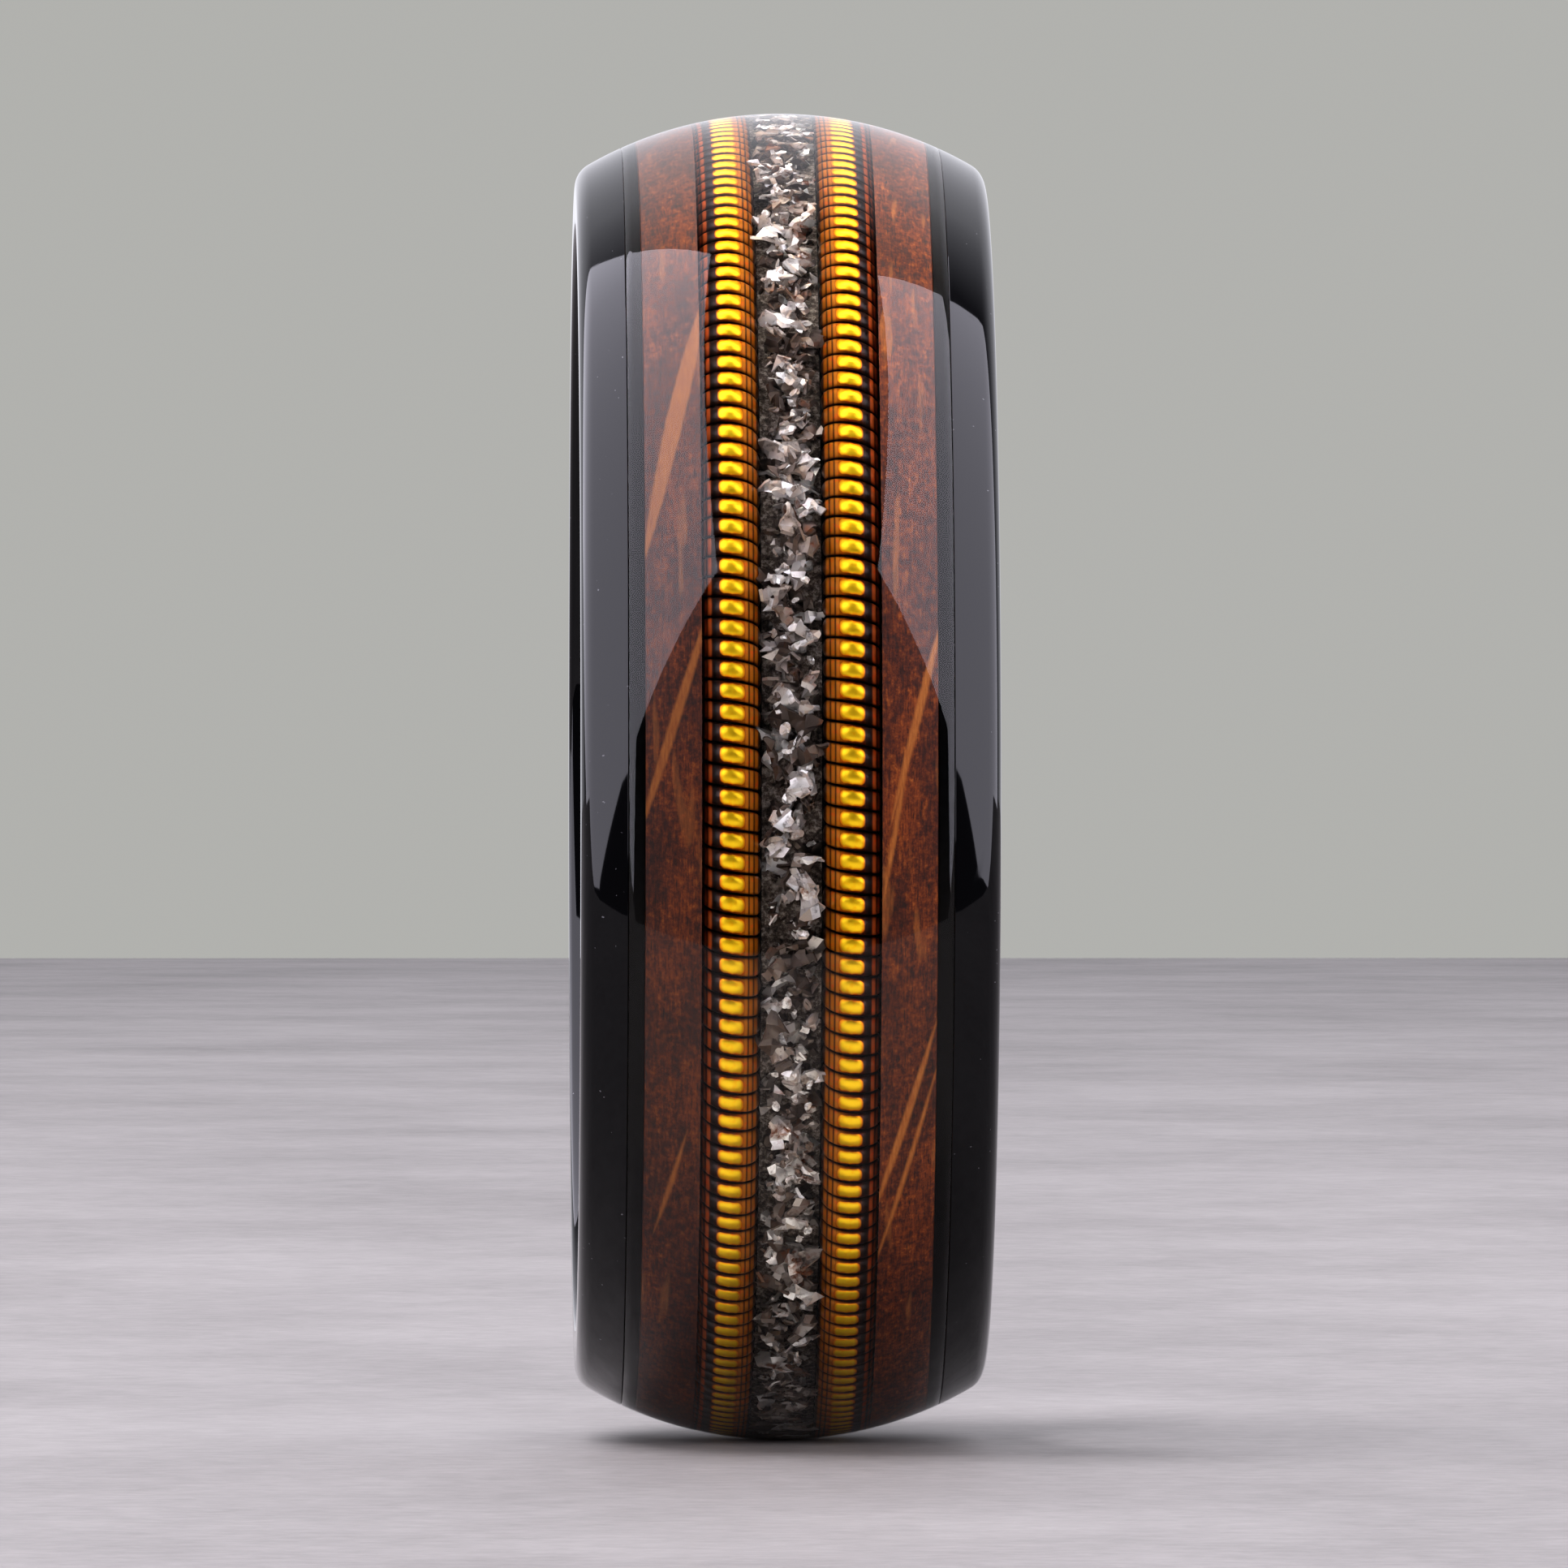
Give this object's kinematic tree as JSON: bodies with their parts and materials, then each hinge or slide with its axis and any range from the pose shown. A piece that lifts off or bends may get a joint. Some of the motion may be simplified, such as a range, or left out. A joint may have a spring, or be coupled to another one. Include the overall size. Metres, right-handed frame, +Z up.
{
  "type": "wedding band",
  "caption": "Domed wedding band: a black ceramic ring with oak strips, wound strings and metal shavings set in its outer channel under clear resin.",
  "frame": {"origin": "centre of the ring, on its axis and half way across its width", "axes": "+X along the ring's axis, +Z up with the ring standing on edge, -Y towards a viewer who sees it edge on"},
  "size_m": [0.0078, 0.0252, 0.0252],
  "materials": {
    "black_ceramic": "mirror polished",
    "black_adhesive": "set black epoxy",
    "oak": "sanded, sealed under resin",
    "core_steel": "drawn wire",
    "string_bronze": "drawn bronze wire",
    "dark_resin": "filled with fine metal dust",
    "shaving_steel": "torn and curled turnings",
    "clear_resin": "clear, polished flush with the rims"
  },
  "bodies": {
    "root": {"ceramic_band": "black_ceramic", "edge_seam_left": "black_adhesive", "edge_seam_right": "black_adhesive", "oak_strip_left": "oak", "oak_strip_right": "oak", "string_bedding_left": "black_adhesive", "string_bedding_right": "black_adhesive", "string_core_left": "core_steel", "string_core_right": "core_steel", "string_winding_left": "string_bronze", "string_winding_right": "string_bronze", "shavings_bed": "dark_resin", "metal_shaving_01": "shaving_steel", "metal_shaving_02": "shaving_steel", "metal_shaving_03": "shaving_steel", "metal_shaving_04": "shaving_steel", "metal_shaving_05": "shaving_steel", "metal_shaving_06": "shaving_steel", "metal_shaving_07": "shaving_steel", "metal_shaving_08": "shaving_steel", "metal_shaving_09": "shaving_steel", "metal_shaving_10": "shaving_steel", "metal_shaving_11": "shaving_steel", "metal_shaving_12": "shaving_steel", "metal_shaving_13": "shaving_steel", "metal_shaving_14": "shaving_steel", "metal_shaving_15": "shaving_steel", "metal_shaving_16": "shaving_steel", "metal_shaving_17": "shaving_steel", "metal_shaving_18": "shaving_steel", "metal_shaving_19": "shaving_steel", "metal_shaving_20": "shaving_steel", "metal_shaving_21": "shaving_steel", "metal_shaving_22": "shaving_steel", "metal_shaving_23": "shaving_steel", "metal_shaving_24": "shaving_steel", "metal_shaving_25": "shaving_steel", "metal_shaving_26": "shaving_steel", "metal_shaving_27": "shaving_steel", "metal_shaving_28": "shaving_steel", "metal_shaving_29": "shaving_steel", "metal_shaving_30": "shaving_steel", "metal_shaving_31": "shaving_steel", "metal_shaving_32": "shaving_steel", "metal_shaving_33": "shaving_steel", "metal_shaving_34": "shaving_steel", "metal_shaving_35": "shaving_steel", "metal_shaving_36": "shaving_steel", "resin_dome": "clear_resin"}
  },
  "joints": []
}
